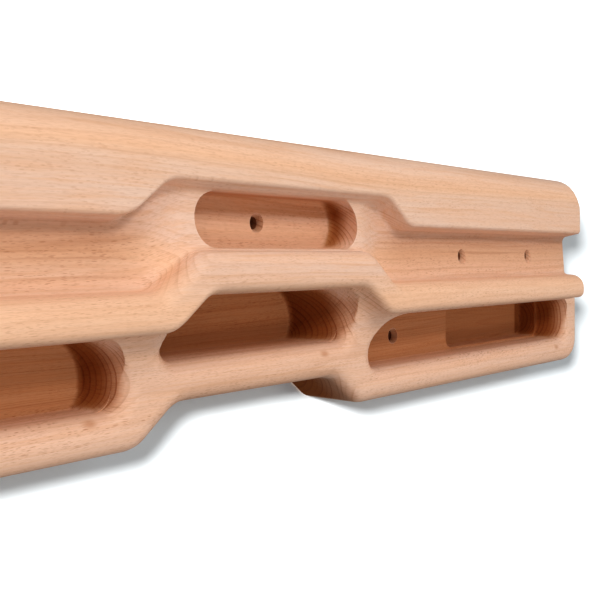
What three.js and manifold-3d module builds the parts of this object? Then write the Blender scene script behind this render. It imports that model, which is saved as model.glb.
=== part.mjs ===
// Wooden hangboard for finger training: one milled board of solid beech that is screwed
// flat to a wall. Millimetres, +Z up, X along the board, the front looks along -Y and the
// flat back lies in the plane y = 0. The origin is on the back face, in the middle of the
// board's length, at eye level. Depths are measured from the front face of the top block.

import * as THREE from 'three';
import { mergeVertices } from 'three/addons/utils/BufferGeometryUtils.js';
import Module from 'manifold-3d';

// Driving dimensions of the whole board
const upperLength = 628;          // top block and rail, end to end
const endStep = 36.5;             // the lower tier reaches further than the rail at each end
const boardThickness = 57;        // back face to the front face of the top block
const topLevel = 52.5;            // top of the board above the origin
const bottomLevel = -79.5;        // bottom edge at both sides
const upperCornerRadius = 12.5;   // corners in the front view
const lowerCornerRadius = 16.5;
const upperEndRound = 2;          // broken front edge at the ends of block and rail

// Top block with its sloping hold
const sloperRadius = 15;
const blockEdgeLevel = 14.2;      // lower front edge of the block at the sides
const blockEdgeRadius = 2.4;
const undersideDrop = 1.5;        // the underside falls by this much towards the wall

// Groove between block and rail
const grooveDepthSide = 13.4;
const grooveDepthCentre = 8.4;
const grooveLean = 1.5;           // the groove's back wall comes forward by this at its foot
const grooveTopFillet = 4;
const grooveFloorFillet = 2.2;

// Rail, the main finger edge
const railLevel = -14.5;          // back corner of the rail's top at the sides
const railTopDrop = 0.3;          // the rail's top falls by this much towards the front
const railTopLift = 16.4;         // in the middle the rail's top lies this much higher
const railProud = 3;              // the rail stands out in front of the block
const railTopRadius = 9;
const railLowerLevel = -31;       // underside of the rail at the sides
const railLowerRadius = 4.5;
const coveHeight = 18.5;          // hollow curve below the rail, down to the lower tier

// Lower tier with the pockets
const tierSetback = 17.5;
const tierRound = 8;              // rounded front edge along the bottom and the ends
const shoulderLevel = -20;        // where the lower tier steps out past the rail's end
const shoulderFillet = 6;

// The middle of the board is lifted: every long edge climbs a short ramp on each side
const rampAngle = 38;             // degrees
const rampRadius = 16.5;
const upperLift = 15;
const bottomLift = 16.6;
const blockRampPlace = 84.5;      // middle of the ramp, from the centre of the board
const grooveRampPlace = 69;
const railRampPlace = 63.3;
const bottomRampPlace = 64;

// Pockets
const topPocketLength = 111.6;
const topPocketHeight = 24.4;
const topPocketDepth = 16.6;      // behind the groove's back wall
const topPocketLedge = 0.5;       // height of its bottom above the rail's top
const topPocketFillet = 3;
const pocketGap = 1;              // pocket roofs start this far below the rail
const middlePocketLength = 128.5;
const middlePocketHeight = 28.3;
const outerPocketHeight = 30.2;
const webWidth = 18.1;            // wood between the middle and the outer pockets
const endWebWidth = 20.5;         // wood between the outer pockets and the board's end
const pocketRoofRadius = 19;      // upper corners that follow the ramp above them
const pocketCornerRadius = 8;     // all other corners
const pocketEndShare = 0.28;      // the pockets' ends lean in by this share of the depth
const deepPocketFloor = 51.2;     // depth behind the block's face
const shallowPocketFloor = 40;
const deepPartLength = 134;       // outer, deeper part of the outer pockets
const deepPartInset = 1.4;        // it is cut a little smaller than the shallow part
const pocketFloorFillet = 2.2;

// Rounded mouths of the lower pockets: full along the bottom, running out up the sides
const mouthRound = 8;
const mouthRoundLeast = 0.05;
const middleMouthStart = 11;      // below the pocket's roof
const middleMouthRun = 6;
const outerMouthStart = 9;
const outerMouthRun = 11;

// Countersunk screw holes
const boreRadius = 3;
const sinkRadius = 4.7;
const sinkDepth = 3.2;
const grooveHoleInner = 168;      // from the centre of the board
const grooveHoleOuter = 255.5;
const grooveHoleLevel = -1.5;
const pocketHolePlace = 134.4;
const pocketHoleLevel = -48.6;

// Facets, and how far a cutter reaches past what it cuts
const roundSteps = 8;
const smallRoundSteps = 4;
const rampSteps = 10;
const cornerSteps = 6;
const holeSides = 20;
const overrun = 20;
const lap = 1;
const weldReach = 0.00001;        // points closer together than this are one
const leastTurnShare = 0.5;       // limits the reach of an inset at a sharp corner

const wasm = await Module();
wasm.setup();

const rampSlope = THREE.MathUtils.degToRad(rampAngle);

// Height of a lifted edge above its level at the sides, at a place along the board
function liftAt(x, place, lift) {
  const halfRun = lift / 2 / Math.tan(rampSlope);
  const tangent = rampRadius * Math.tan(rampSlope / 2);
  const across = Math.abs(x) - place;
  const inRound = halfRun + tangent - Math.abs(across);
  if (inRound <= 0) return across < 0 ? lift : 0;
  if (inRound < rampRadius * Math.sin(rampSlope)) {
    const sag = rampRadius - Math.sqrt(rampRadius ** 2 - inRound ** 2);
    return across < 0 ? lift - sag : sag;
  }
  return lift / 2 - across * Math.tan(rampSlope);
}

// Where the ramp of one edge starts and ends
function rampSpan(place, lift) {
  const half = lift / 2 / Math.tan(rampSlope) + rampRadius * Math.tan(rampSlope / 2);
  return [place - half, place + half];
}

// Points of an elliptic arc about a centre, between two angles in degrees
function arc(cx, cy, rx, ry, from, to, steps) {
  const points = [];
  for (let i = 0; i <= steps; i += 1) {
    const angle = THREE.MathUtils.degToRad(from + (to - from) * i / steps);
    points.push([cx + rx * Math.cos(angle), cy + ry * Math.sin(angle)]);
  }
  return points;
}

// A closed solid through rings of points that all have the same number of points
function loftSolid(rings, flat) {
  const count = rings[0].length;
  const contour = flat.map(([u, v]) => new THREE.Vector2(u, v));
  const caps = THREE.ShapeUtils.triangulateShape(contour, []);
  const positions = rings.flat(2);
  const triangles = [];
  for (let ring = 0; ring + 1 < rings.length; ring += 1) {
    for (let i = 0; i < count; i += 1) {
      const a = ring * count + i;
      const b = ring * count + (i + 1) % count;
      triangles.push(a, b, b + count, a, b + count, a + count);
    }
  }
  const last = (rings.length - 1) * count;
  for (const [a, b, c] of caps) {
    triangles.push(a, c, b, last + a, last + b, last + c);
  }
  const geometry = new THREE.BufferGeometry();
  geometry.setAttribute('position', new THREE.Float32BufferAttribute(positions, 3));
  geometry.setIndex(triangles);
  return toManifold(geometry);
}

// A three.js geometry as a solid, turned the right way out
function toManifold(geometry) {
  const bare = geometry.clone();
  for (const name of Object.keys(bare.attributes)) {
    if (name !== 'position') bare.deleteAttribute(name);
  }
  const merged = mergeVertices(bare, weldReach);
  const vertProperties = new Float32Array(merged.attributes.position.array);
  const triVerts = new Uint32Array(merged.index.array);
  const solid = new wasm.Manifold(new wasm.Mesh({ numProp: 3, vertProperties, triVerts }));
  if (solid.volume() > 0) return solid;
  for (let i = 0; i < triVerts.length; i += 3) {
    [triVerts[i], triVerts[i + 1]] = [triVerts[i + 1], triVerts[i]];
  }
  return new wasm.Manifold(new wasm.Mesh({ numProp: 3, vertProperties, triVerts }));
}

function toGeometry(solid) {
  const mesh = solid.getMesh();
  const geometry = new THREE.BufferGeometry();
  geometry.setAttribute('position', new THREE.BufferAttribute(mesh.vertProperties, 3));
  geometry.setIndex(new THREE.BufferAttribute(mesh.triVerts, 1));
  geometry.computeVertexNormals();
  return geometry;
}

// A point at a depth behind the block's face
function atDepth(x, depth, z) {
  return [x, depth - boardThickness, z];
}

// How far a round of the given radius has drawn in, a step before the end of a body
function drawnIn(radius, distanceToEnd) {
  const into = Math.max(radius - distanceToEnd, 0);
  return radius - Math.sqrt(Math.max(radius ** 2 - into ** 2, 0));
}

// Block, groove, rail and cove
// Cross-section of the upper board, as [depth, level], drawn in at the board's ends
function upperSection(x) {
  const toEnd = upperLength / 2 - Math.abs(x);
  const inset = drawnIn(upperEndRound, toEnd);
  const top = topLevel - inset - drawnIn(upperCornerRadius, toEnd);
  const blockEdge = blockEdgeLevel + liftAt(x, blockRampPlace, upperLift) + inset;
  const lifted = liftAt(x, grooveRampPlace, upperLift);
  const rail = railLevel + liftAt(x, grooveRampPlace, railTopLift) - inset;
  const railLower = railLowerLevel + liftAt(x, railRampPlace, upperLift) + inset;
  const groove = THREE.MathUtils.lerp(grooveDepthSide, grooveDepthCentre, lifted / upperLift) + inset;
  const foot = groove - grooveLean;
  const edgeRound = blockEdgeRadius - inset;
  const nose = railTopRadius - inset;
  const lip = railLowerRadius - inset;
  const noseDepth = inset - railProud;
  const noseRun = Math.min(nose, foot - grooveFloorFillet - inset - noseDepth);
  const topFillet = grooveTopFillet + inset;
  const floorFillet = grooveFloorFillet + inset;
  const roof = blockEdge - undersideDrop;
  const railFront = rail - railTopDrop;
  const tier = tierSetback + inset;
  const sloper = sloperRadius - inset;
  const coveDepth = tier - (noseDepth + lip);
  const coveFoot = railLower - coveHeight;
  return [
    [boardThickness, top],
    ...arc(inset + sloper, top - sloper, sloper, sloper, 90, 180, roundSteps),
    ...arc(inset + edgeRound, blockEdge + edgeRound, edgeRound, edgeRound, 180, 270, smallRoundSteps),
    ...arc(groove - topFillet, roof - topFillet, topFillet, topFillet, 90, 0, smallRoundSteps),
    ...arc(foot - floorFillet, rail + floorFillet, floorFillet, floorFillet, 0, -90, smallRoundSteps - 1),
    ...arc(noseDepth + noseRun, railFront - nose, noseRun, nose, 90, 180, roundSteps),
    ...arc(noseDepth + lip, railLower + lip, lip, lip, 180, 270, smallRoundSteps),
    ...arc(noseDepth + lip, coveFoot, coveDepth, coveHeight, 90, 0, roundSteps).slice(1),
    [boardThickness, coveFoot],
  ];
}

// Places along the board where the cross-section is taken: close together on the ramps
// and at the ends, and none where the board runs straight
function upperStations() {
  const half = upperLength / 2;
  const inner = rampSpan(railRampPlace, upperLift)[0];
  const outer = rampSpan(blockRampPlace, upperLift)[1];
  const places = [];
  for (let i = 0; i <= 2 * rampSteps; i += 1) {
    places.push(inner + (outer - inner) * i / (2 * rampSteps));
  }
  for (const [radius, steps] of [[upperCornerRadius, cornerSteps], [upperEndRound, smallRoundSteps]]) {
    for (const [back] of arc(0, 0, radius, radius, 90, 0, steps)) {
      places.push(half - radius + back);
    }
  }
  const sorted = [...new Set(places)].sort((a, b) => a - b);
  return [...sorted.slice().reverse().map((x) => -x), ...sorted];
}

function upperBoard() {
  const rings = upperStations().map((x) => upperSection(x).map(([d, z]) => atDepth(x, d, z)));
  return loftSolid(rings, upperSection(upperStations()[0]));
}

// Lower tier
// Half of its front view, from the middle of the bottom edge round to the top, as [x, z]
function tierHalfOutline() {
  const [start, end] = rampSpan(bottomRampPlace, bottomLift);
  const points = [];
  for (let i = 0; i <= 2 * rampSteps; i += 1) {
    const x = start + (end - start) * i / (2 * rampSteps);
    points.push([x, bottomLevel + liftAt(x, bottomRampPlace, bottomLift)]);
  }
  const turn = lowerCornerRadius;
  const side = upperLength / 2 + endStep - turn;
  const inner = upperLength / 2 + shoulderFillet;
  const top = shoulderLevel + shoulderFillet;
  points.push(...arc(side, bottomLevel + turn, turn, turn, -90, 0, roundSteps));
  points.push(...arc(side, shoulderLevel - turn, turn, turn, 0, 90, roundSteps));
  points.push(...arc(inner, top, shoulderFillet, shoulderFillet, -90, -180, smallRoundSteps));
  points.push([upperLength / 2 - upperEndRound - lap, top]);
  return points;
}

// The outline moved inwards by a distance, along the normal at each point
function insetOutline(outline, distance) {
  return outline.map((point, i) => {
    const before = outline[(i + outline.length - 1) % outline.length];
    const after = outline[(i + 1) % outline.length];
    const a = new THREE.Vector2(point[0] - before[0], point[1] - before[1]).normalize();
    const b = new THREE.Vector2(after[0] - point[0], after[1] - point[1]).normalize();
    const along = a.clone().add(b).normalize();
    const reach = distance / Math.max(along.dot(a), leastTurnShare);
    return [point[0] - along.y * reach, point[1] + along.x * reach];
  });
}

function lowerTier() {
  const right = tierHalfOutline();
  const left = right.slice().reverse().map(([x, z]) => [-x, z]);
  const outline = [...right, ...left];
  const front = arc(1, 0, 1, 1, 180, 90, roundSteps - 2);
  const rings = front.map(([depthShare, sideShare]) => (
    insetOutline(outline, tierRound * (1 - sideShare))
      .map(([x, z]) => atDepth(x, tierSetback + tierRound * depthShare, z))
  ));
  rings.push(outline.map(([x, z]) => atDepth(x, boardThickness, z)));
  return loftSolid(rings, outline);
}

// Depth of the surface that the lower pockets open through, with the cove above the tier
function frontDepthAt(x, z) {
  if (Math.abs(x) > upperLength / 2) return tierSetback;
  const foot = railLowerLevel + liftAt(x, railRampPlace, upperLift) - coveHeight;
  const upShare = THREE.MathUtils.clamp((z - foot) / coveHeight, 0, 1);
  const coveTop = railLowerRadius - railProud;
  return THREE.MathUtils.lerp(coveTop, tierSetback, Math.sqrt(1 - upShare ** 2));
}

// Pockets
// A rectangle with round corners in the front view, as [x, z, outward x, outward z]. It
// runs from the roof down one end, along the bottom and up the other end.
function roundedOutline({ x0, x1, z0, z1, roof0, roof1, corner }) {
  const room = z1 - z0 - corner;
  const left = Math.min(roof0, room);
  const right = Math.min(roof1, room);
  const corners = [
    [x0 + left, z1 - left, left, 90],
    [x0 + corner, z0 + corner, corner, 180],
    [x1 - corner, z0 + corner, corner, 270],
    [x1 - right, z1 - right, right, 0],
  ];
  return corners.flatMap(([cx, cz, radius, from]) => {
    const ways = arc(0, 0, 1, 1, from, from + 90, roundSteps);
    return ways.map(([nx, nz]) => [cx + radius * nx, cz + radius * nz, nx, nz]);
  });
}

// The outline drawn in by a distance at each end and another at the roof and the bottom
function drawnOutline(shape, end0, end1, side) {
  return roundedOutline({
    x0: shape.x0 + end0,
    x1: shape.x1 - end1,
    z0: shape.z0 + side,
    z1: shape.z1 - side,
    roof0: shape.roof0 - side,
    roof1: shape.roof1 - side,
    corner: shape.corner - side,
  });
}

// The cutter of a pocket: level roof and bottom, ends that lean in from the given depths
// on, and a fillet round the floor
function pocketCutter(shape, from, floorDepth, lean0, lean1, fillet) {
  const depths = [[from, 0]];
  for (const [inShare, downShare] of arc(0, 0, 1, 1, 0, 90, smallRoundSteps - 1)) {
    depths.push([floorDepth - fillet * (1 - downShare), fillet * (1 - inShare)]);
  }
  for (const depth of [lean0, lean1]) {
    if (depth > from && depths.every(([other]) => other !== depth)) depths.push([depth, 0]);
  }
  depths.sort((a, b) => a[0] - b[0]);
  const rings = depths.map(([depth, side]) => {
    const end0 = pocketEndShare * Math.max(depth - lean0, 0) + side;
    const end1 = pocketEndShare * Math.max(depth - lean1, 0) + side;
    return drawnOutline(shape, end0, end1, side).map(([x, z]) => atDepth(x, depth, z));
  });
  return loftSolid(rings, roundedOutline(shape));
}

// The cutter that rounds a pocket's mouth. It follows the outline and the front surface;
// its radius grows from nothing at the start level over the run.
function mouthCutter(shape, start, run) {
  const path = roundedOutline(shape);
  const first = path.findIndex(([, z]) => z < start) - 1;
  const last = path.findLastIndex(([, z]) => z < start) + 1;
  const sections = path.slice(first, last + 1).map(([x, z, nx, nz]) => {
    const grown = THREE.MathUtils.clamp((start - z) / run, 0, 1);
    const radius = Math.max(mouthRound * grown, mouthRoundLeast);
    const outside = frontDepthAt(x + nx * radius, z + nz * radius);
    const inside = frontDepthAt(x, z) + radius;
    const front = Math.min(outside, inside - radius) - lap;
    const wall = -pocketEndShare * Math.max(inside - tierSetback, 0) * Math.abs(nx);
    return [
      [wall - lap, front],
      [radius, front],
      ...arc(radius, inside, radius - wall, inside - outside, 270, 180, roundSteps - 2),
      [wall - lap, inside],
    ].map(([out, depth]) => ({ flat: [out, depth], place: atDepth(x + nx * out, depth, z + nz * out) }));
  });
  const rings = sections.map((section) => section.map(({ place }) => place));
  return loftSolid(rings, sections[0].map(({ flat }) => flat));
}

function topPocket() {
  const z0 = railLevel + railTopLift + topPocketLedge;
  const round = topPocketHeight / 2;
  const shape = {
    x0: -topPocketLength / 2,
    x1: topPocketLength / 2,
    z0,
    z1: z0 + topPocketHeight,
    roof0: round,
    roof1: round,
    corner: round,
  };
  const floor = grooveDepthCentre + topPocketDepth;
  return pocketCutter(shape, -overrun, floor, floor, floor, topPocketFillet);
}

function middlePocket() {
  const z1 = railLowerLevel + upperLift - pocketGap;
  const shape = {
    x0: -middlePocketLength / 2,
    x1: middlePocketLength / 2,
    z0: z1 - middlePocketHeight,
    z1,
    roof0: pocketRoofRadius,
    roof1: pocketRoofRadius,
    corner: pocketCornerRadius,
  };
  const deep = pocketCutter(shape, -overrun, deepPocketFloor, tierSetback, tierSetback, pocketFloorFillet);
  return deep.add(mouthCutter(shape, z1 - middleMouthStart, middleMouthRun));
}

// The right outer pocket: a shallow part towards the middle and a deep part outside
function outerPocket() {
  const z1 = railLowerLevel - pocketGap;
  const shape = {
    x0: middlePocketLength / 2 + webWidth,
    x1: upperLength / 2 + endStep - endWebWidth,
    z0: z1 - outerPocketHeight,
    z1,
    roof0: pocketRoofRadius,
    roof1: pocketCornerRadius,
    corner: pocketCornerRadius,
  };
  const corner = pocketCornerRadius - deepPartInset;
  const deepShape = {
    x0: shape.x1 - deepPartInset - deepPartLength,
    x1: shape.x1 - deepPartInset,
    z0: shape.z0 + deepPartInset,
    z1: shape.z1 - deepPartInset,
    roof0: corner,
    roof1: corner,
    corner,
  };
  const deepStart = shallowPocketFloor - 2 * pocketFloorFillet;
  const shallow = pocketCutter(
    shape, -overrun, shallowPocketFloor, tierSetback, tierSetback, pocketFloorFillet,
  );
  const deep = pocketCutter(
    deepShape, deepStart, deepPocketFloor, shallowPocketFloor, tierSetback, pocketFloorFillet,
  );
  return shallow.add(deep).add(mouthCutter(shape, z1 - outerMouthStart, outerMouthRun));
}

// Screw holes
// A countersunk hole along the depth, cut from the surface that it starts on
function screwHole(x, z, surface) {
  const length = boardThickness - surface;
  const profile = [
    [0, -overrun / 2],
    [sinkRadius, -overrun / 2],
    [sinkRadius, 0],
    [boreRadius, sinkDepth],
    [boreRadius, length + overrun],
    [0, length + overrun],
  ].map(([r, y]) => new THREE.Vector2(r, y));
  const geometry = new THREE.LatheGeometry(profile, holeSides);
  const [px, py, pz] = atDepth(x, surface, z);
  geometry.translate(px, py, pz);
  return toManifold(geometry);
}

function screwHoles() {
  const holes = [];
  const topPocketMiddle = railLevel + railTopLift + topPocketLedge + topPocketHeight / 2;
  const grooveWall = grooveDepthSide - grooveLean / 2;
  holes.push(screwHole(0, topPocketMiddle, grooveDepthCentre + topPocketDepth));
  for (const side of [-1, 1]) {
    holes.push(screwHole(side * grooveHoleInner, grooveHoleLevel, grooveWall));
    holes.push(screwHole(side * grooveHoleOuter, grooveHoleLevel, grooveWall));
    holes.push(screwHole(side * pocketHolePlace, pocketHoleLevel, shallowPocketFloor));
  }
  return holes;
}

function mirrored(solid) {
  return solid.mirror([1, 0, 0]);
}

let solid = upperBoard().add(lowerTier());
const outer = outerPocket();
const cutters = [topPocket(), middlePocket(), outer, mirrored(outer), ...screwHoles()];
for (const cutter of cutters) solid = solid.subtract(cutter);

const beech = new THREE.MeshStandardMaterial({ color: 0xe8bd9c, roughness: 0.55, metalness: 0 });
const board = new THREE.Mesh(toGeometry(solid), beech);
board.name = 'board';

const hangboard = new THREE.Group();
hangboard.add(board);

export default hangboard;
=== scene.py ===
# A wooden hangboard, shown as it hangs flat on a pale wall: one milled board of beech.
import math

import bpy
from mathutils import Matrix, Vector


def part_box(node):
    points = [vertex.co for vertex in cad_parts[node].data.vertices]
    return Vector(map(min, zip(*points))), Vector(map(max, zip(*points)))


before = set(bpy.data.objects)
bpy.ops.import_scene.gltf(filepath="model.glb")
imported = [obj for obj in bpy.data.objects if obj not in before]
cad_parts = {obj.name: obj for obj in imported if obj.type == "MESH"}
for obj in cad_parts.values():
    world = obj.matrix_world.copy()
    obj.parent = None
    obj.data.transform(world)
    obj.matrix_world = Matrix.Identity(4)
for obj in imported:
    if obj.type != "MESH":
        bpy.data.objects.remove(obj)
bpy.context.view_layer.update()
lowest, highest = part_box("board")
MM = 0.001

# Camera
# The photograph is taken from close by, at the height of the rail, looking along the
# board towards its right end.
CAMERA_PLACE = Vector((-309.2, -320.5, 0)) * MM
CAMERA_AIM = Vector((0.763, 0.646, 0))
CAMERA_LENS = 54
SENSOR_WIDTH = 36
NEAREST_SEEN = 5 * MM
HORIZON_ROW = 254
FRAME_SIDE = 600

camera_data = bpy.data.cameras.new("camera")
camera_data.lens = CAMERA_LENS
camera_data.sensor_width = SENSOR_WIDTH
camera_data.shift_y = (HORIZON_ROW - FRAME_SIDE / 2) / FRAME_SIDE
camera_data.clip_start = NEAREST_SEEN
camera = bpy.data.objects.new("camera", camera_data)
camera.location = CAMERA_PLACE
camera.rotation_mode = "QUATERNION"
camera.rotation_quaternion = CAMERA_AIM.to_track_quat("-Z", "Y")
bpy.context.scene.collection.objects.link(camera)
bpy.context.scene.camera = camera


# Board
# One plank of solid beech, milled on its front, sanded smooth and left bare. The milled
# roundings run into flat faces, so the surface is shaded smooth except at real corners.
SHARP_ANGLE = math.radians(35)
WELD_REACH = 0.01 * MM


def smooth_by_angle():
    """A modifier's node tree that keeps only the corners sharper than SHARP_ANGLE."""
    tree = bpy.data.node_groups.new("smooth_by_angle", "GeometryNodeTree")
    tree.interface.new_socket("Geometry", in_out="INPUT", socket_type="NodeSocketGeometry")
    tree.interface.new_socket("Geometry", in_out="OUTPUT", socket_type="NodeSocketGeometry")
    entry = tree.nodes.new("NodeGroupInput")
    result = tree.nodes.new("NodeGroupOutput")
    angle = tree.nodes.new("GeometryNodeInputMeshEdgeAngle")
    sharp = tree.nodes.new("FunctionNodeCompare")
    sharp.data_type = "FLOAT"
    sharp.operation = "GREATER_THAN"
    sharp.inputs["B"].default_value = SHARP_ANGLE
    faces = tree.nodes.new("GeometryNodeSetShadeSmooth")
    faces.domain = "FACE"
    edges = tree.nodes.new("GeometryNodeSetShadeSmooth")
    edges.domain = "EDGE"
    edges.inputs["Shade Smooth"].default_value = False
    tree.links.new(angle.outputs["Unsigned Angle"], sharp.inputs["A"])
    tree.links.new(entry.outputs[0], faces.inputs["Geometry"])
    tree.links.new(faces.outputs[0], edges.inputs["Geometry"])
    tree.links.new(sharp.outputs[0], edges.inputs["Selection"])
    tree.links.new(edges.outputs[0], result.inputs[0])
    return tree


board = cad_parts["board"]
weld = board.modifiers.new("weld", "WELD")
weld.merge_threshold = WELD_REACH
shading = board.modifiers.new("smooth_by_angle", "NODES")
shading.node_group = smooth_by_angle()
normals = board.modifiers.new("weighted_normals", "WEIGHTED_NORMAL")
normals.keep_sharp = True

# Beech
# The wood is one solid texture through the whole board, so the growth rings run on from
# face to face. Places are in millimetres, the pith runs along X just behind the back.
PITH_Y = 1
PITH_Z = -48
RING_WIDTH = 2.4


def calc(tree, operation, *values, vector=False, output=0):
    """One maths node; each value is a number, a vector or another node's output."""
    maths = tree.nodes.new("ShaderNodeVectorMath" if vector else "ShaderNodeMath")
    maths.operation = operation
    for socket, value in zip(maths.inputs, values):
        if isinstance(value, bpy.types.NodeSocket):
            tree.links.new(value, socket)
        else:
            socket.default_value = value
    return maths.outputs[output]


def product(tree, total, *others):
    """The product of all the values."""
    for other in others:
        total = calc(tree, "MULTIPLY", total, other)
    return total


def rest_of(tree, value):
    """What is left of 1 after the value."""
    return calc(tree, "SUBTRACT", 1, value)


def split(tree, vector):
    """The X, Y and Z of a vector."""
    parts = tree.nodes.new("ShaderNodeSeparateXYZ")
    tree.links.new(vector, parts.inputs[0])
    return tuple(parts.outputs)


def ramp(tree, value, start, end, low=0.0, high=1.0):
    """A smooth change from low at start to high at end."""
    change = tree.nodes.new("ShaderNodeMapRange")
    change.interpolation_type = "SMOOTHSTEP"
    tree.links.new(value, change.inputs["Value"])
    for name, number in zip(("From Min", "From Max", "To Min", "To Max"), (start, end, low, high)):
        change.inputs[name].default_value = number
    return change.outputs["Result"]


def noise(tree, place, cell, detail=2.0, output="Fac"):
    """Noise whose cells have the given size along each axis."""
    texture = tree.nodes.new("ShaderNodeTexNoise")
    texture.inputs["Scale"].default_value = 1
    texture.inputs["Detail"].default_value = detail
    spot = calc(tree, "DIVIDE", place, cell, vector=True)
    tree.links.new(spot, texture.inputs["Vector"])
    return texture.outputs[output]


def mix(tree, factor, first, second, blend="MIX"):
    """Two colours mixed; each is red, green and blue, or another node's output."""
    mixer = tree.nodes.new("ShaderNodeMix")
    mixer.data_type = "RGBA"
    mixer.blend_type = blend
    colours = [socket for socket in mixer.inputs if socket.type == "RGBA"]
    mixer_inputs = (mixer.inputs["Factor"], *colours)
    for socket, value in zip(mixer_inputs, (factor, first, second)):
        if isinstance(value, bpy.types.NodeSocket):
            tree.links.new(value, socket)
        elif isinstance(value, tuple):
            socket.default_value = (*value, 1)
        else:
            socket.default_value = value
    return [socket for socket in mixer.outputs if socket.type == "RGBA"][0]


def shader_group(name, inputs, outputs):
    """An empty node group with named sockets, and its two ends."""
    tree = bpy.data.node_groups.new(name, "ShaderNodeTree")
    for socket, kind in inputs:
        tree.interface.new_socket(socket, in_out="INPUT", socket_type=kind)
    for socket, kind in outputs:
        tree.interface.new_socket(socket, in_out="OUTPUT", socket_type=kind)
    return tree, tree.nodes.new("NodeGroupInput"), tree.nodes.new("NodeGroupOutput")


def group_node(tree, group, source):
    """A group placed in a material, its first input taken from another node."""
    placed = tree.nodes.new("ShaderNodeGroup")
    placed.node_tree = group
    tree.links.new(source, placed.inputs[0])
    return placed


# The pith wanders and the rings wave; the years differ in width and strength
SWAY_CELL, SWAY_REACH = (300, 110, 110), 16
WOBBLE_CELL, WOBBLE_REACH = (60, 14, 14), 1.2
TURN_LENGTH = 80
YEAR_CHANGE, YEAR_REACH = 0.09, 3.0
LEAST_RING = 0.3
RING_RISE = 2.2
LINE_START, LINE_FULL, LINE_DROP = 0.6, 0.93, 0.95


def drift(tree, position, cell, reach):
    """A slow random shift across the grain."""
    shift = noise(tree, position, cell, 1.0, "Color")
    shift = calc(tree, "SUBTRACT", shift, (0.5, 0.5, 0.5), vector=True)
    return calc(tree, "MULTIPLY", shift, (0, reach, reach), vector=True)


def growth_rings():
    """Distance and turn around the pith, and the rings: pale early wood, a thin dark end."""
    tree, entry, result = shader_group(
        "growth_rings",
        [("Position", "NodeSocketVector")],
        [
            ("Place", "NodeSocketVector"),
            ("Radius", "NodeSocketFloat"),
            ("Ring", "NodeSocketFloat"),
            ("Line", "NodeSocketFloat"),
        ],
    )
    position = entry.outputs["Position"]
    sway = drift(tree, position, SWAY_CELL, SWAY_REACH)
    wobble = drift(tree, position, WOBBLE_CELL, WOBBLE_REACH)
    place = calc(tree, "ADD", position, sway, vector=True)
    place = calc(tree, "ADD", place, wobble, vector=True)
    along, depth, level = split(tree, place)
    away = calc(tree, "SUBTRACT", PITH_Y, depth)
    rise = calc(tree, "SUBTRACT", level, PITH_Z)
    square = calc(tree, "ADD", product(tree, away, away), product(tree, rise, rise))
    radius = calc(tree, "SQRT", square)
    turn = calc(tree, "ARCTAN2", rise, away)
    unrolled = tree.nodes.new("ShaderNodeCombineXYZ")
    for socket, value in zip(unrolled.inputs, (along, product(tree, turn, TURN_LENGTH), radius)):
        tree.links.new(value, socket)
    years = tree.nodes.new("ShaderNodeTexNoise")
    years.noise_dimensions = "1D"
    years.inputs["Scale"].default_value = YEAR_CHANGE
    years.inputs["Detail"].default_value = 1
    tree.links.new(radius, years.inputs["W"])
    count = calc(tree, "DIVIDE", radius, RING_WIDTH)
    count = calc(tree, "ADD", count, product(tree, years.outputs["Fac"], YEAR_REACH))
    within = calc(tree, "FRACT", count)
    year = tree.nodes.new("ShaderNodeTexWhiteNoise")
    year.noise_dimensions = "1D"
    tree.links.new(calc(tree, "FLOOR", count), year.inputs["W"])
    strength = calc(tree, "MULTIPLY_ADD", year.outputs["Value"], 1 - LEAST_RING, LEAST_RING)
    ring = product(tree, calc(tree, "POWER", within, RING_RISE), strength)
    line_rise = ramp(tree, within, LINE_START, LINE_FULL)
    line_fall = ramp(tree, within, 1.0, LINE_DROP)
    line = product(tree, line_rise, line_fall, strength)
    for socket, value in zip(result.inputs, (unrolled.outputs[0], radius, ring, line)):
        tree.links.new(value, socket)
    return tree


# Cell sizes are along the grain, round the pith and away from it
FLECK_LAYERS = (((4.6, 0.56, 14), 0), ((3.4, 0.44, 11), 37))
FLECK_SIZE_SPREAD, FLECK_SIZE = 0.28, 0.18
FLECK_EDGE = 0.6
LEAST_FLECK = 0.3
FLECK_PATCH_CELL, FLECK_PATCH_RANGE = (70, 9, 9), (0.35, 0.65, 0.4, 1.0)
FLECK_RADIUS_RANGE = (50, 85, 1.0, 0.35)
PORE_CELL, PORE_RANGE = (5, 0.3, 0.6), (0.42, 0.72)


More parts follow.
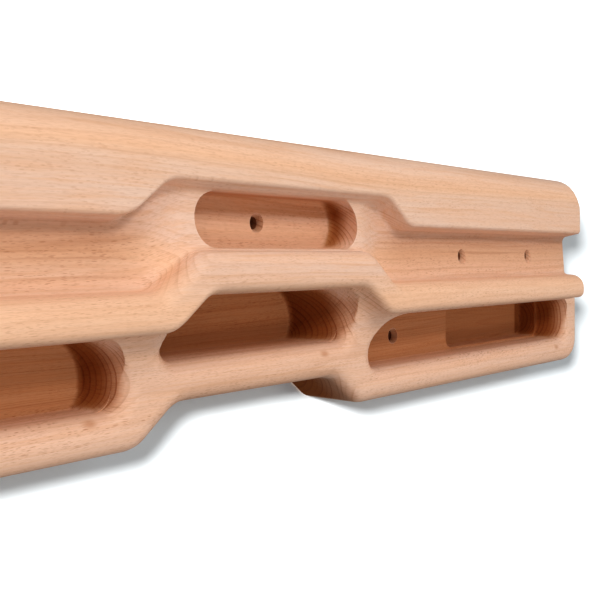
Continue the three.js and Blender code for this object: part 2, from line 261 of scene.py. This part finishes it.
def ray_flecks():
    """Wood rays: short dark spindles on the faces, thin lines towards the pith on end grain."""
    tree, entry, result = shader_group(
        "ray_flecks",
        [("Place", "NodeSocketVector")],
        [("Fleck", "NodeSocketFloat"), ("Pore", "NodeSocketFloat")],
    )
    place = entry.outputs["Place"]
    _, _, radius = split(tree, place)
    spindles = 0
    for cell, shift in FLECK_LAYERS:
        cells = tree.nodes.new("ShaderNodeTexVoronoi")
        cells.inputs["Scale"].default_value = 1
        spot = calc(tree, "ADD", place, (shift, shift, shift), vector=True)
        tree.links.new(calc(tree, "DIVIDE", spot, cell, vector=True), cells.inputs["Vector"])
        chance, tone, _ = split(tree, cells.outputs["Color"])
        size = calc(tree, "MULTIPLY_ADD", chance, FLECK_SIZE_SPREAD, FLECK_SIZE)
        spindle = rest_of(tree, calc(tree, "DIVIDE", cells.outputs["Distance"], size))
        tone = calc(tree, "MULTIPLY_ADD", tone, 1 - LEAST_FLECK, LEAST_FLECK)
        spindle = product(tree, ramp(tree, spindle, 0, FLECK_EDGE), tone)
        spindles = calc(tree, "MAXIMUM", spindle, spindles)
    patch = ramp(tree, noise(tree, place, FLECK_PATCH_CELL, 1.0), *FLECK_PATCH_RANGE)
    outward = ramp(tree, radius, *FLECK_RADIUS_RANGE)
    pores = ramp(tree, noise(tree, place, PORE_CELL, 3.0), *PORE_RANGE)
    tree.links.new(product(tree, spindles, patch, outward), result.inputs["Fleck"])
    tree.links.new(pores, result.inputs["Pore"])
    return tree


beech = bpy.data.materials.new("beech")
beech.use_nodes = True
tree = beech.node_tree
principled = tree.nodes["Principled BSDF"]
coordinates = tree.nodes.new("ShaderNodeTexCoord")
position = calc(tree, "DIVIDE", coordinates.outputs["Object"], (MM, MM, MM), vector=True)
rings = group_node(tree, growth_rings(), position)
rays = group_node(tree, ray_flecks(), rings.outputs["Place"])
facing_x, _, facing_z = split(tree, coordinates.outputs["Normal"])
x, y, z = split(tree, position)
from_middle = calc(tree, "ABSOLUTE", x)
across = calc(tree, "ABSOLUTE", facing_x)
END_GRAIN_RANGE = (0.5, 0.95)
end_grain = ramp(tree, across, *END_GRAIN_RANGE)

# Cuts across the grain show the rings, less so where the rail is sanded
SLICED_RANGE = (0.3, 0.85)
RAIL_Y_RANGE, RAIL_Z_RANGE = (-44, -52), (-18, -10)
RAIL_RING_LOSS = 0.6
sanded = product(tree, ramp(tree, y, *RAIL_Y_RANGE), ramp(tree, z, *RAIL_Z_RANGE))
sanded = calc(tree, "MULTIPLY_ADD", sanded, -RAIL_RING_LOSS, 1)
sliced = product(tree, ramp(tree, across, *SLICED_RANGE), sanded)

# Colour by year: the tint wanders between pale, pink and warm from the pith outwards
OUTERMOST_YEAR = 140
YEAR_TINTS = (
    (0.0, (0.80, 0.50, 0.34)),
    (0.33, (0.85, 0.55, 0.40)),
    (0.43, (0.86, 0.55, 0.38)),
    (0.47, (0.89, 0.54, 0.34)),
    (0.52, (0.83, 0.55, 0.41)),
    (0.66, (0.83, 0.57, 0.43)),
    (0.715, (0.84, 0.55, 0.39)),
    (0.745, (0.88, 0.53, 0.33)),
    (0.79, (0.84, 0.56, 0.41)),
    (1.0, (0.84, 0.57, 0.43)),
)
years = tree.nodes.new("ShaderNodeValToRGB")
outward = calc(tree, "DIVIDE", rings.outputs["Radius"], OUTERMOST_YEAR)
tree.links.new(outward, years.inputs["Fac"])
for place, tint in YEAR_TINTS[1:-1]:
    years.color_ramp.elements.new(place)
for element, (place, tint) in zip(years.color_ramp.elements, YEAR_TINTS):
    element.position = place
    element.color = (*tint, 1)
colour = years.outputs["Color"]


def grain(cell, detail, start, end):
    """Noise drawn out along the grain, from 0 to 1."""
    return ramp(tree, noise(tree, rings.outputs["Place"], cell, detail), start, end)


# Everything that marks the wood: how much of it shows, and its tint
streaks = grain((220, 9, 9), 2.0, 0.35, 0.7)
mottle = grain((26, 1.5, 2.5), 3.0, 0.42, 0.7)
strands = grain((130, 1.8, 3), 2.0, 0.48, 0.72)
RING_DEPTH, RING_DEPTH_FLAT = 0.5, 0.2
LINE_DEPTH, LINE_DEPTH_FLAT = 0.8, 0.08
ring_depth = calc(tree, "MULTIPLY_ADD", sliced, RING_DEPTH - RING_DEPTH_FLAT, RING_DEPTH_FLAT)
line_depth = calc(tree, "MULTIPLY_ADD", sliced, LINE_DEPTH - LINE_DEPTH_FLAT, LINE_DEPTH_FLAT)
for mark, depth, tint in (
    (streaks, 0.35, (0.86, 0.47, 0.27)),
    (mottle, 0.4, (0.82, 0.46, 0.27)),
    (strands, 0.38, (0.74, 0.40, 0.225)),
    (rings.outputs["Ring"], ring_depth, (0.62, 0.30, 0.155)),
    (rings.outputs["Line"], line_depth, (0.42, 0.16, 0.07)),
    (rays.outputs["Fleck"], 0.8, (0.42, 0.15, 0.055)),
    (rays.outputs["Pore"], 0.2, (0.50, 0.24, 0.13)),
):
    colour = mix(tree, product(tree, mark, depth), colour, tint)

# Pin knots: three small reddish ones on the lower front
KNOT_PLACES = ((-99, -65), (312.6, -67.8), (42.8, -50))
KNOT_STRETCH = (0.5, 0, 1)
KNOT_RAGGED = 0.5
KNOT_RANGE = (2.6, 0.4, 0, 0.6)
KNOT_TINT = (0.50, 0.19, 0.075)
for along, level in KNOT_PLACES:
    offset = calc(tree, "SUBTRACT", position, (along, 0, level), vector=True)
    offset = calc(tree, "MULTIPLY", offset, KNOT_STRETCH, vector=True)
    reach = calc(tree, "LENGTH", offset, vector=True, output=1)
    reach = calc(tree, "ADD", reach, product(tree, rays.outputs["Pore"], KNOT_RAGGED))
    colour = mix(tree, ramp(tree, reach, *KNOT_RANGE), colour, KNOT_TINT)


def darken(factor, tint):
    """The colour so far, multiplied by the tint where the factor is 1."""
    return mix(tree, factor, colour, tint, "MULTIPLY")


# Painted shade: the bores are darkened inside, and the tones below spare their sunk rims
BORE_PLACES = ((0, 14.6), (168, -1.5), (255.5, -1.5), (134.4, -48.6))
BORE_REACH = 3.1
SINK_REACH = 4.8
SINK_TONE = 0.45
FAR_AWAY = 100
away = FAR_AWAY
for along, level in BORE_PLACES:
    aside = calc(tree, "SUBTRACT", from_middle, along)
    above = calc(tree, "SUBTRACT", z, level)
    square = calc(tree, "ADD", product(tree, aside, aside), product(tree, above, above))
    away = calc(tree, "MINIMUM", calc(tree, "SQRT", square), away)
plain = calc(tree, "MAXIMUM", calc(tree, "GREATER_THAN", away, SINK_REACH), SINK_TONE)
# painted shade inside the bores
colour = darken(calc(tree, "LESS_THAN", away, BORE_REACH), (0.32, 0.21, 0.15))
colour = darken(product(tree, end_grain, plain), (0.86, 0.72, 0.62))

# Painted shade: the groove under the block, darkest near its top, and the pockets are darker and
# redder than the sanded front
BACK_Y = -2
GROOVE_FOOT = -14
GROOVE_Y_RANGE, GROOVE_ROOF_RANGE = (-49.5, -44), (34, 31)
GROOVE_RISE_RANGE = (-12, 6, 0.45, 1.0)
GROOVE_RAMP_RANGE = (0.1, 0.4, 1.0, 0.3)
GROOVE_MIDDLE_RANGE = (70, 105, 0.3, 1.0)
in_front = calc(tree, "LESS_THAN", y, BACK_Y)
groove_shade = product(
    tree,
    in_front,
    calc(tree, "GREATER_THAN", z, GROOVE_FOOT),
    ramp(tree, y, *GROOVE_Y_RANGE),
    ramp(tree, z, *GROOVE_ROOF_RANGE),
    ramp(tree, z, *GROOVE_RISE_RANGE),
    ramp(tree, across, *GROOVE_RAMP_RANGE),
    ramp(tree, from_middle, *GROOVE_MIDDLE_RANGE),
)
# painted shade in the groove, strongest under the block's overhang
colour = darken(groove_shade, (0.76, 0.66, 0.59))


def pocket_row(level, half_height, half_length, mouth, full):
    """1 in the pockets of one row, fading in between the depths mouth and full."""
    beside = calc(tree, "ABSOLUTE", calc(tree, "SUBTRACT", z, level))
    return product(
        tree,
        calc(tree, "LESS_THAN", beside, half_height),
        calc(tree, "LESS_THAN", from_middle, half_length),
        ramp(tree, y, mouth, full),
    )


# Painted shade in the pockets, growing with depth and under the top pocket's roof, less on faces
# that look up near the mouth
TOP_SHADOW_RANGE = (16, 20, 0.22, 0.9)
LIT_FACING_RANGE, LIT_DEPTH_RANGE = (0.6, 0.98), (-12, -30, 0.25, 0.75)
lower_pockets = pocket_row(level=-39.5, half_height=23.05, half_length=331, mouth=-40, full=-25)
top_pocket = pocket_row(level=14.6, half_height=12.6, half_length=57, mouth=-46, full=-36)
pockets = calc(tree, "ADD", top_pocket, lower_pockets)
shadowed = product(tree, top_pocket, ramp(tree, z, *TOP_SHADOW_RANGE))
pocket_shade = product(tree, calc(tree, "ADD", shadowed, lower_pockets), in_front, plain)
lit = product(tree, ramp(tree, facing_z, *LIT_FACING_RANGE), ramp(tree, y, *LIT_DEPTH_RANGE))
shaded = product(tree, pocket_shade, rest_of(tree, lit))
colour = darken(shaded, (0.74, 0.51, 0.33))

# Painted shade: the ramps of the underside, the pockets' depths and their far corners lie in the
# dark and are darkened
UNDERSIDE_TOP = -60
UNDER_FACING_RANGE, UNDER_Y_RANGE, UNDER_RAMP_RANGE = (-0.35, -0.7), (-52, -14), (0.2, 0.5)
DEEP_Y_RANGE = (-30, -8)
CORNER_RANGE = (308, 313)
underside_shade = product(
    tree,
    calc(tree, "LESS_THAN", z, UNDERSIDE_TOP),
    ramp(tree, facing_z, *UNDER_FACING_RANGE),
    ramp(tree, y, *UNDER_Y_RANGE),
    ramp(tree, across, *UNDER_RAMP_RANGE),
)
colour = darken(underside_shade, (0.42, 0.19, 0.065))
colour = darken(product(tree, shaded, ramp(tree, y, *DEEP_Y_RANGE)), (0.77, 0.69, 0.58))
colour = darken(product(tree, pocket_shade, ramp(tree, from_middle, *CORNER_RANGE)), (0.94, 0.88, 0.8))

# Strands show darker inside the painted shade of the groove and the pockets, and painted shade
# makes the pockets' end walls and ledges the darkest
STRAND_LEFT = 0.42
UPRIGHT_RANGE = (0.1, 0.6)
LEDGE_X_RANGE, LEDGE_FACING_RANGE = (311.5, 313.5), (0.7, 0.3)
strands_in_shade = product(tree, calc(tree, "MAXIMUM", pocket_shade, groove_shade), strands, STRAND_LEFT)
colour = darken(strands_in_shade, (0.72, 0.60, 0.52))
# painted shade on the pockets' end walls and on the ledges at the deep parts' ends
ledge_place = ramp(tree, from_middle, *LEDGE_X_RANGE)
ledge = product(tree, ledge_place, ramp(tree, facing_z, *LEDGE_FACING_RANGE))
upright = calc(tree, "MAXIMUM", ramp(tree, across, *UPRIGHT_RANGE), ledge)
colour = darken(product(tree, pockets, plain, upright, in_front), (0.50, 0.34, 0.18))

# Worn edges: handling leaves the tight outer roundings paler and smoother
WORN_WIDTH = 1.6 * MM
WORN_TURN_RANGE = (0.95, 0.8)
WORN_CELL, WORN_RANGE = (14, 5, 5), (0.35, 0.65)
FRONT_Y_RANGE, END_X_RANGE, EDGE_Z_RANGE = (-42.5, -44), (318, 326), (60, 64)
WORN_TINT, WORN_DEPTH = (0.90, 0.68, 0.52), 0.45
MIDDLE_LEVEL = (lowest.z + highest.z) / 2 / MM
rounded = tree.nodes.new("ShaderNodeBevel")
rounded.samples = 4
rounded.inputs["Radius"].default_value = WORN_WIDTH
geometry = tree.nodes.new("ShaderNodeNewGeometry")
both_normals = (rounded.outputs["Normal"], geometry.outputs["Normal"])
turned = calc(tree, "DOT_PRODUCT", *both_normals, vector=True, output=1)
from_centre = calc(tree, "ABSOLUTE", calc(tree, "SUBTRACT", z, MIDDLE_LEVEL))
outside = calc(
    tree, "MAXIMUM", ramp(tree, y, *FRONT_Y_RANGE), ramp(tree, from_middle, *END_X_RANGE)
)
outside = calc(tree, "MAXIMUM", outside, ramp(tree, from_centre, *EDGE_Z_RANGE))
worn = product(
    tree,
    outside,
    ramp(tree, turned, *WORN_TURN_RANGE),
    ramp(tree, noise(tree, position, WORN_CELL, 3.0), *WORN_RANGE),
    rest_of(tree, calc(tree, "MAXIMUM", groove_shade, pocket_shade)),
)
colour = mix(tree, product(tree, worn, WORN_DEPTH), colour, WORN_TINT)
tree.links.new(colour, principled.inputs["Base Color"])

# Pores, cut wood and end grain are rougher, worn edges smoother
SANDED_ROUGHNESS = 0.55
roughness = SANDED_ROUGHNESS
for mask, change in (
    (rays.outputs["Pore"], 0.12),
    (worn, -0.12),
    (pocket_shade, 0.2),
    (end_grain, 0.12),
):
    roughness = calc(tree, "MULTIPLY_ADD", mask, change, roughness)
tree.links.new(roughness, principled.inputs["Roughness"])

# Flecks and pores lie a little lower, the dark wood of each ring a little higher
RELIEF_STRENGTH = 0.4
RELIEF_HEIGHT = 0.05 * MM
height = 0
for mask, rise in (
    (rays.outputs["Fleck"], -0.6),
    (rays.outputs["Pore"], -0.4),
    (rings.outputs["Ring"], 0.5),
):
    height = calc(tree, "MULTIPLY_ADD", mask, rise, height)
bump = tree.nodes.new("ShaderNodeBump")
bump.inputs["Strength"].default_value = RELIEF_STRENGTH
bump.inputs["Distance"].default_value = RELIEF_HEIGHT
tree.links.new(height, bump.inputs["Height"])
tree.links.new(bump.outputs["Normal"], principled.inputs["Normal"])
BARE_WOOD_SPECULAR = 0.12
principled.inputs["Specular IOR Level"].default_value = BARE_WOOD_SPECULAR
board.data.materials.clear()
board.data.materials.append(beech)


# Wall and floor
# A white wall right behind the board takes its soft shadow; seen from behind it is clear.
# A pale floor lies far below.
def flat_sheet(name, corners):
    """A flat rectangle that isn't part of the object."""
    mesh = bpy.data.meshes.new(name)
    mesh.from_pydata(corners, [], [(0, 1, 2, 3)])
    sheet = bpy.data.objects.new(name, mesh)
    bpy.context.scene.collection.objects.link(sheet)
    return sheet


def backdrop_paint(name, seen, unseen, see_through):
    """White to the eye and dim to other rays, so that the backdrop doesn't light the board."""
    paint = bpy.data.materials.new(name)
    paint.use_nodes = True
    tree = paint.node_tree
    surface = tree.nodes["Principled BSDF"]
    surface.inputs["Roughness"].default_value = 1
    surface.inputs["Specular IOR Level"].default_value = 0
    rays = tree.nodes.new("ShaderNodeLightPath")
    sight = calc(
        tree, "MAXIMUM", rays.outputs["Is Camera Ray"], rays.outputs["Is Transmission Ray"]
    )
    tree.links.new(mix(tree, sight, unseen, seen), surface.inputs["Base Color"])
    if see_through:
        clear = tree.nodes.new("ShaderNodeBsdfTransparent")
        side = tree.nodes.new("ShaderNodeNewGeometry")
        choice = tree.nodes.new("ShaderNodeMixShader")
        tree.links.new(side.outputs["Backfacing"], choice.inputs[0])
        tree.links.new(surface.outputs[0], choice.inputs[1])
        tree.links.new(clear.outputs[0], choice.inputs[2])
        tree.links.new(choice.outputs[0], tree.nodes["Material Output"].inputs["Surface"])
    return paint


def level_corners(side, front, back, level):
    """The corners of a level rectangle as wide as two sides."""
    return [(-side, front, level), (side, front, level), (side, back, level), (-side, back, level)]


def upright_corners(side, place, bottom, top):
    """The corners of an upright rectangle that faces the front."""
    return [(-side, place, bottom), (side, place, bottom), (side, place, top), (-side, place, top)]


WALL_GAP = 0.5 * MM
WALL_TOP = 2
FLOOR_LEVEL = -0.9
FLOOR_FRONT = -4
SIDE = 3
WALL_SEEN, WALL_UNSEEN = (0.93, 0.98, 1), (0.03, 0.03, 0.03)
FLOOR_SEEN, FLOOR_UNSEEN = (0.9, 0.9, 0.9), (0.1, 0.1, 0.1)
wall = flat_sheet("wall", upright_corners(SIDE, highest.y + WALL_GAP, FLOOR_LEVEL, WALL_TOP))
wall.data.materials.append(backdrop_paint("wall_paint", WALL_SEEN, WALL_UNSEEN, True))
floor = flat_sheet("floor", level_corners(SIDE, FLOOR_FRONT, SIDE, FLOOR_LEVEL))
floor.data.materials.append(backdrop_paint("floor_paint", FLOOR_SEEN, FLOOR_UNSEEN, False))


# Light
# Soft lamps from the upper left, above, the side and below light only the board, and one
# behind the wall lights its back. Two more light only the wall and the floor: one fills
# them evenly, and a small one by the camera draws the narrow shadow.
def light_only(light, name, lit):
    """Lets a light reach the given objects and nothing else."""
    receivers = bpy.data.collections.new(name + "_receivers")
    for lit_object in lit:
        receivers.objects.link(lit_object)
    light.light_linking.receiver_collection = receivers


def soft_lamp(name, place, size, power, lit):
    """A square lamp, size in metres and power in watts, that looks at the board."""
    data = bpy.data.lights.new(name, "AREA")
    data.size = size
    data.energy = power
    light = bpy.data.objects.new(name, data)
    light.location = place
    light.rotation_mode = "QUATERNION"
    light.rotation_quaternion = (-light.location).to_track_quat("-Z", "Y")
    bpy.context.scene.collection.objects.link(light)
    light_only(light, name, lit)
    return light


soft_lamp("key", (-0.5, -1.75, 0.95), 0.35, 14.8, [board])
soft_lamp("overhead", (0, -1.05, 1.6), 1.4, 7.2, [board])
soft_lamp("side", (-1.5, -1.05, 0.85), 0.7, 9, [board])
soft_lamp("low", (0, -1.9, -0.6), 0.9, 13.4, [board])
back = soft_lamp("back", (0.3, 2.2, 0.3), 1.2, 45, [board])
blockers = bpy.data.collections.new("back_blockers")
blockers.objects.link(board)
back.light_linking.blocker_collection = blockers
soft_lamp("wall_fill", (0.3, -2.4, 0.5), 1.5, 12.5, [wall, floor])

SHADOW_LAMP_RADIUS = 0.058
SHADOW_LAMP_OFFSET = Vector((-80, 0, 98)) * MM
SHADOW_LAMP_STRENGTH = 140
shadow_data = bpy.data.lights.new("shadow_lamp", "POINT")
shadow_data.shadow_soft_size = SHADOW_LAMP_RADIUS
shadow_data.energy = 1
shadow_data.use_nodes = True
even = shadow_data.node_tree.nodes.new("ShaderNodeLightFalloff")
even.inputs["Strength"].default_value = SHADOW_LAMP_STRENGTH
emission = shadow_data.node_tree.nodes["Emission"]
shadow_data.node_tree.links.new(even.outputs["Constant"], emission.inputs["Strength"])
shadow_lamp = bpy.data.objects.new("shadow_lamp", shadow_data)
shadow_lamp.location = CAMERA_PLACE + SHADOW_LAMP_OFFSET
bpy.context.scene.collection.objects.link(shadow_lamp)
light_only(shadow_lamp, "shadow_lamp", [wall, floor])

# World
# Dim all round for the board, white to the eye and in reflections.
DIM = (0.2, 0.2, 0.2)
WHITE = (1, 1, 1)
world = bpy.data.worlds.new("studio")
world.use_nodes = True
tree = world.node_tree
rays = tree.nodes.new("ShaderNodeLightPath")
sight = calc(tree, "MAXIMUM", rays.outputs["Is Camera Ray"], rays.outputs["Is Glossy Ray"])
sight = calc(tree, "MAXIMUM", sight, rays.outputs["Is Transmission Ray"])
tree.links.new(mix(tree, sight, DIM, WHITE), tree.nodes["Background"].inputs["Color"])
bpy.context.scene.world = world

bpy.context.scene.view_settings.view_transform = "Standard"
